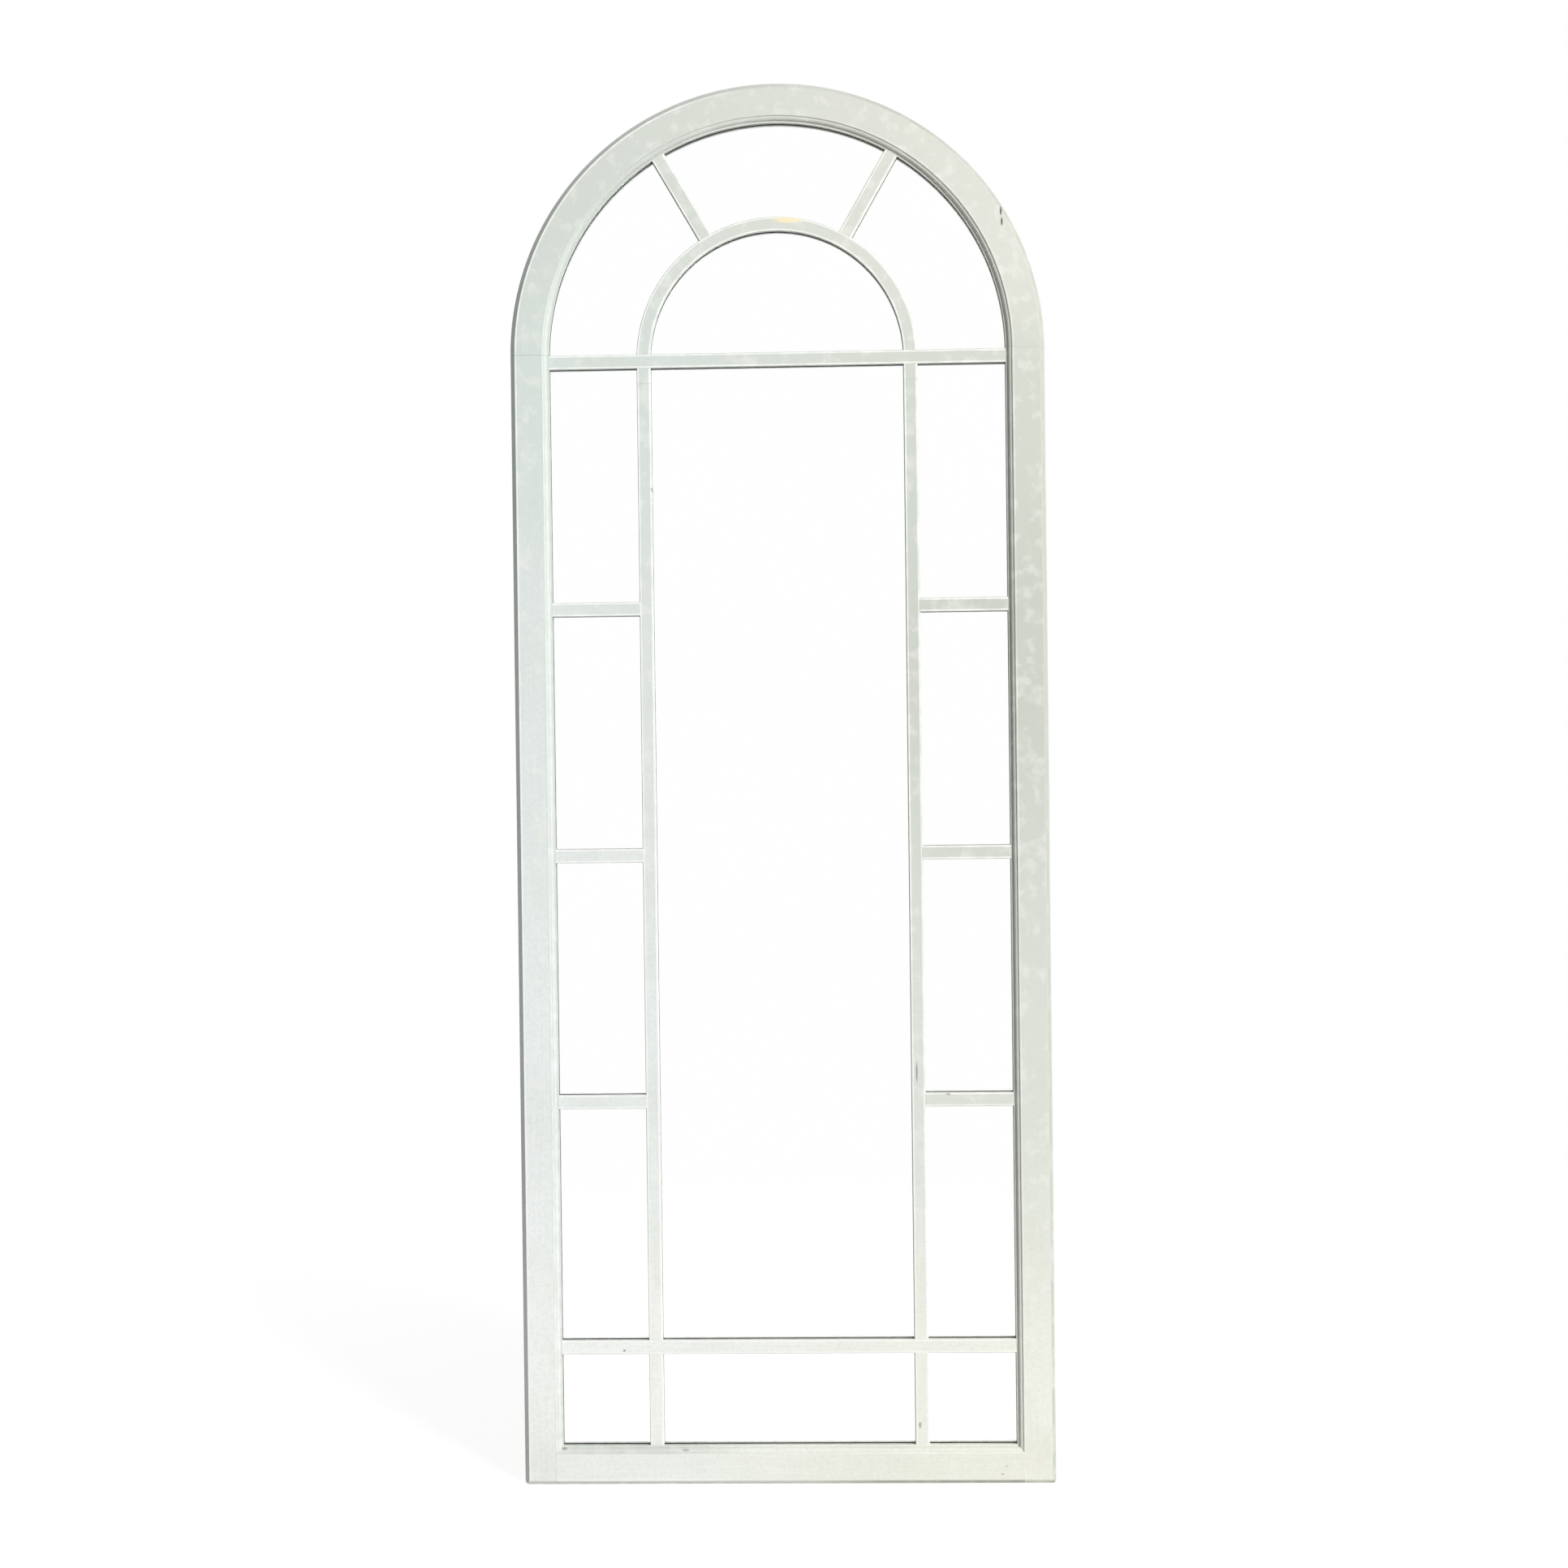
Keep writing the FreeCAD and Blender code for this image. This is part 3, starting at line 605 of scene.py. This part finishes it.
def islands(node):
    """Low and high corners of each separate solid of a CAD node."""
    bm = bmesh.new()
    bm.from_mesh(nodes[node].data)
    bmesh.ops.remove_doubles(bm, verts=bm.verts, dist=WELD)
    left = set(bm.verts)
    boxes = []
    while left:
        seed = left.pop()
        todo = [seed]
        found = [seed]
        while todo:
            vert = todo.pop()
            for edge in vert.link_edges:
                other = edge.other_vert(vert)
                if other in left:
                    left.remove(other)
                    todo.append(other)
                    found.append(other)
        low = Vector([min(v.co[i] for v in found) for i in range(3)])
        high = Vector([max(v.co[i] for v in found) for i in range(3)])
        boxes.append((low, high))
    bm.free()
    return sorted(boxes, key=lambda pair: tuple(round(value, KEY_DIGITS) for value in pair[0]))


# pan head, as shares of its radius: height, shank radius, length of the shank's point
HEAD_HEIGHT = 0.55
SHANK_RADIUS = 0.5
POINT_LENGTH = 0.9
# the head's dome: radius as a share of the head's, and depth below its top as a share of its height
HEAD_DOME = ((0.35, 0.05), (0.62, 0.18), (0.83, 0.38), (0.96, 0.66), (1.0, 0.85))
# cross recess: half length and half width of an arm as shares of the head's radius, half length at the
# bottom as a share of that at the top, and height of the cutter as a share of the head's
CROSS_REACH = 0.58
CROSS_HALF_WIDTH = 0.13
CROSS_TAPER = 0.45
CROSS_HEIGHT = 1.6
# each screw stopped at its own angle: the first one's, and how far it moves on to the next
FIRST_SCREW_TURN = 0.7
NEXT_SCREW_TURN = 1.9


def screw_blank(low, high, radius, centre):
    """Domed head and pointed shank of one screw, between its CAD solid's ends."""
    height = radius * HEAD_HEIGHT
    dome = [(radius * share, high.y - height * depth) for share, depth in HEAD_DOME]
    under = high.y - height
    profile = [(0, high.y), *dome, (radius, under), (radius * SHANK_RADIUS, under),
               (radius * SHANK_RADIUS, low.y + radius * POINT_LENGTH), (0, low.y)]
    bm = bmesh.new()
    revolve(bm, profile, centre)
    return plain_object(bm, "head")


def cross_cutter(radius, place, turn):
    """Two crossed blocks, tapered towards the bottom of the recess."""
    bm = bmesh.new()
    arm = radius * CROSS_REACH
    width = radius * CROSS_HALF_WIDTH
    for half_x, half_z in ((arm, width), (width, arm)):
        for vert in bmesh.ops.create_cube(bm, size=1.0)["verts"]:
            taper = CROSS_TAPER if vert.co.y < 0 else 1.0
            vert.co.x *= 2 * half_x * taper if half_x > width else 2 * width
            vert.co.z *= 2 * half_z * taper if half_z > width else 2 * width
            vert.co.y *= CROSS_HEIGHT * (radius * HEAD_HEIGHT)
    matrix = Matrix.Translation(place) @ Matrix.Rotation(turn, 4, "Y")
    bmesh.ops.transform(bm, matrix=matrix, verts=bm.verts)
    return plain_object(bm, "cross")


def screw_pieces(node, name, material):
    """Cross-recessed screws where a CAD node has its plain ones."""
    total = bmesh.new()
    for number, (low, high) in enumerate(islands(node)):
        radius = (high.x - low.x) / 2
        centre = Vector(((low.x + high.x) / 2, 0, (low.z + high.z) / 2))
        blank = screw_blank(low, high, radius, centre)
        turn = FIRST_SCREW_TURN + NEXT_SCREW_TURN * number
        cutter = cross_cutter(radius, centre + Vector((0, high.y, 0)), turn)
        cut = blank.modifiers.new("cut", "BOOLEAN")
        cut.object = cutter
        cut.operation = "DIFFERENCE"
        cut.solver = "EXACT"
        cut.use_self = True
        bpy.context.view_layer.update()
        depsgraph = bpy.context.evaluated_depsgraph_get()
        total.from_mesh(bpy.data.meshes.new_from_object(blank.evaluated_get(depsgraph)))
        bpy.data.objects.remove(blank)
        bpy.data.objects.remove(cutter)
    piece = object_from(total, name, material)
    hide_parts(node)


# the D-ring: sides round the wire, and steps round a corner, round the bow and along the straight bar
RING_SIDES = 20
CORNER_STEPS = 12
BOW_STEPS = 48
BAR_STEPS = 12
RING_CORNER = 0.25          # corner radius as a share of half the ring's width


def ring_piece(side, material):
    """The D-ring as one smooth bent wire, lying where the CAD ring lies."""
    node = f"hanger_ring_{side}"
    low, high = (Vector(corner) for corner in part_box(node))
    joint = next(j for j in frame["joints"] if j["name"] == f"{side}_ring_hinge")
    pivot = Vector(joint["pos_m"])
    wire = high.z - pivot.z
    half = (high.x - low.x) / 2 - wire
    drop = low.z + wire - pivot.z
    lift = high.y - wire - pivot.y
    reach = math.hypot(drop, lift)
    lean = math.asin(lift / reach)
    corner = half * RING_CORNER
    straight = reach - half
    path = []
    for i in range(CORNER_STEPS + 1):
        turn = math.pi / 2 * i / CORNER_STEPS
        path.append((half - corner + corner * math.sin(turn), -corner + corner * math.cos(turn)))
    for i in range(1, BOW_STEPS):
        turn = math.pi * i / BOW_STEPS
        path.append((half * math.cos(turn), -straight - half * math.sin(turn)))
    for i in range(CORNER_STEPS + 1):
        turn = math.pi / 2 * i / CORNER_STEPS
        path.append((-half + corner - corner * math.cos(turn), -corner + corner * math.sin(turn)))
    for i in range(1, BAR_STEPS):
        path.append((-half + corner + (2 * half - 2 * corner) * i / BAR_STEPS, 0.0))
    bm = bmesh.new()
    rings = []
    count = len(path)
    for i, (x, z) in enumerate(path):
        along = (Vector(path[(i + 1) % count]) - Vector(path[i - 1])).normalized()
        outward = Vector((along.y, 0, -along.x))
        ring = []
        for k in range(RING_SIDES):
            turn = math.tau * k / RING_SIDES
            ring.append(bm.verts.new(Vector((x, 0, z)) + outward * (wire * math.cos(turn))
                                     + Vector((0, wire * math.sin(turn), 0))))
        rings.append(ring)
    for i in range(count):
        a, b = rings[i], rings[(i + 1) % count]
        for k in range(RING_SIDES):
            j = (k + 1) % RING_SIDES
            bm.faces.new((a[k], a[j], b[j], b[k]))
    bmesh.ops.recalc_face_normals(bm, faces=bm.faces)
    turn = Matrix.Rotation(lean, 4, "X")
    bmesh.ops.transform(bm, matrix=Matrix.Translation(pivot) @ turn, verts=bm.verts)
    piece = object_from(bm, f"ring_wire_{side}", material, body=f"{side}_ring",
                        smooth_angle=60)
    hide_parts(node)


# bumper: radius of the crown as a share of the base's, and the crown's rounding, as shares of its radius
# and depths below the top
CROWN_SHARE = 0.8
CROWN_ROUNDING = ((0.78, 0.0), (0.93, 0.35 * MM), (0.995, 1.1 * MM))


def bumper_pieces(material):
    """Tapered rubber pads with a rounded crown."""
    bm = bmesh.new()
    for low, high in islands("wall_bumpers"):
        centre = Vector(((low.x + high.x) / 2, 0, (low.z + high.z) / 2))
        radius = (high.x - low.x) / 2
        crown = radius * CROWN_SHARE
        rounding = [(crown * share, high.y - depth) for share, depth in CROWN_ROUNDING]
        revolve(bm, [(0, high.y), *rounding, (radius, low.y), (0, low.y)], centre)
    piece = object_from(bm, "bumper_pads", material)
    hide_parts("wall_bumpers")


# ---------------------------------------------------------------- floor and light

WHITE = 1.0                 # background in view and in the mirror
WHITE_COLOUR = (1, 1, 1, 1)
FLOOR_HALF = 30.0
FLOOR_GLOW = 0.82           # the floor's own light near the object; the rest is lit, and takes shadow
FLOOR_FADE = (0.7, 2.2)     # distances from the middle between which the floor turns plain white


def grey(level):
    return (level, level, level, 1)


def seen_directly(t):
    """1 for camera, mirror and glass rays, 0 for light that only falls on things."""
    path = t.add("ShaderNodeLightPath")
    seen = t.math("MAXIMUM", path.outputs["Is Camera Ray"], path.outputs["Is Glossy Ray"])
    return t.math("MAXIMUM", seen, path.outputs["Is Transmission Ray"])


def floor_material():
    """Lit grey for light that falls on things, white with a soft shadow for what is seen directly."""
    material, t = new_material("pale_floor")
    place = t.place()
    x, y, _ = t.split(place)
    faint = t.smooth(t.noise(place, 0.8, 3.0), 0.3, 0.7)
    lit = t.add("ShaderNodeBsdfDiffuse", {"Color": t.mix(faint, grey(0.52), grey(0.54))})
    thin = t.add("ShaderNodeBsdfDiffuse", {"Color": t.mix(faint, grey(0.39), grey(0.41))})
    glow = t.add("ShaderNodeEmission", {"Color": WHITE_COLOUR, "Strength": FLOOR_GLOW})
    white = t.add("ShaderNodeEmission", {"Color": WHITE_COLOUR, "Strength": WHITE})
    near = t.add("ShaderNodeAddShader", {0: glow.outputs[0], 1: thin.outputs[0]})
    far_off = t.smooth(t.hypot(x, y), *FLOOR_FADE)
    shown = t.add("ShaderNodeMixShader", {0: far_off, 1: near.outputs[0], 2: white.outputs[0]})
    both = t.add("ShaderNodeMixShader", {0: seen_directly(t), 1: lit.outputs[0], 2: shown.outputs[0]})
    t.finish(both.outputs[0])
    return material


def make_floor():
    bm = bmesh.new()
    bm.faces.new([bm.verts.new((x * FLOOR_HALF, y * FLOOR_HALF, frame_low[2]))
                  for x, y in ((-1, -1), (1, -1), (1, 1), (-1, 1))])
    floor = plain_object(bm, "floor")
    floor.data.materials.append(floor_material())


AMBIENT = 0.14
AMBIENT_COLOUR = (0.97, 0.985, 1.0, 1)
KEY_FROM = Vector((0.65, -0.74, 0.28))
KEY_DISTANCE = 16.0
KEY_SIZE = 5.6
KEY_LEVEL = 1.10            # what the key alone gives a white surface square to it
KEY_COLOUR = (1.0, 0.995, 0.98)
FILL_FROM = Vector((-0.30, 0.90, 0.30))
FILL_DISTANCE = 7.0
FILL_SIZE = 4.0
FILL_LEVEL = 0.50
FILL_COLOUR = (1.0, 1.0, 1.0)


def make_world():
    world = bpy.data.worlds.new("studio")
    bpy.context.scene.world = world
    world.use_nodes = True
    t = Tree(world.node_tree)
    soft = t.add("ShaderNodeBackground", {"Color": AMBIENT_COLOUR, "Strength": AMBIENT})
    white = t.add("ShaderNodeBackground", {"Color": WHITE_COLOUR, "Strength": WHITE})
    both = t.add("ShaderNodeMixShader", {0: seen_directly(t), 1: soft.outputs[0], 2: white.outputs[0]})
    t.add("ShaderNodeOutputWorld", {"Surface": both.outputs[0]})


def disk_light(name, direction, distance, size, level, colour):
    """Disk lamp in a direction from the middle of the object; level is its light on a white card there."""
    data = bpy.data.lights.new(name, "AREA")
    data.shape = "DISK"
    data.size = size
    data.energy = level * (math.pi * distance) ** 2
    data.color = colour
    light = bpy.data.objects.new(name, data)
    light.location = Vector((0, 0, TOP_Z / 2)) + direction.normalized() * distance
    light.rotation_euler = direction.to_track_quat("Z", "Y").to_euler()
    bpy.context.scene.collection.objects.link(light)


def make_lights():
    disk_light("key", KEY_FROM, KEY_DISTANCE, KEY_SIZE, KEY_LEVEL, KEY_COLOUR)
    disk_light("back_fill", FILL_FROM, FILL_DISTANCE, FILL_SIZE, FILL_LEVEL, FILL_COLOUR)


# ---------------------------------------------------------------- build

def build():
    make_camera()
    make_world()
    make_lights()
    make_floor()
    dress_wood()
    dress("mirror_glass", clear_glass())
    dress("backing_board", hardboard())
    dress("loose_tenons", bare_beech())
    bright_zinc = zinc("bright_zinc")
    yellow_zinc = zinc("yellow_zinc", YELLOW_PASSIVATION)
    for node in ("retaining_clips", "hanger_plate_left", "hanger_plate_right"):
        dress(node, bright_zinc)
    make_silvering()
    screw_pieces("clip_screws", "clip_screw_heads", yellow_zinc)
    screw_pieces("hanger_screws", "hanger_screw_heads", yellow_zinc)
    for side in ("left", "right"):
        ring_piece(side, bright_zinc)
    bumper_pieces(black_rubber())
    bpy.context.scene.view_settings.view_transform = "Standard"


build()
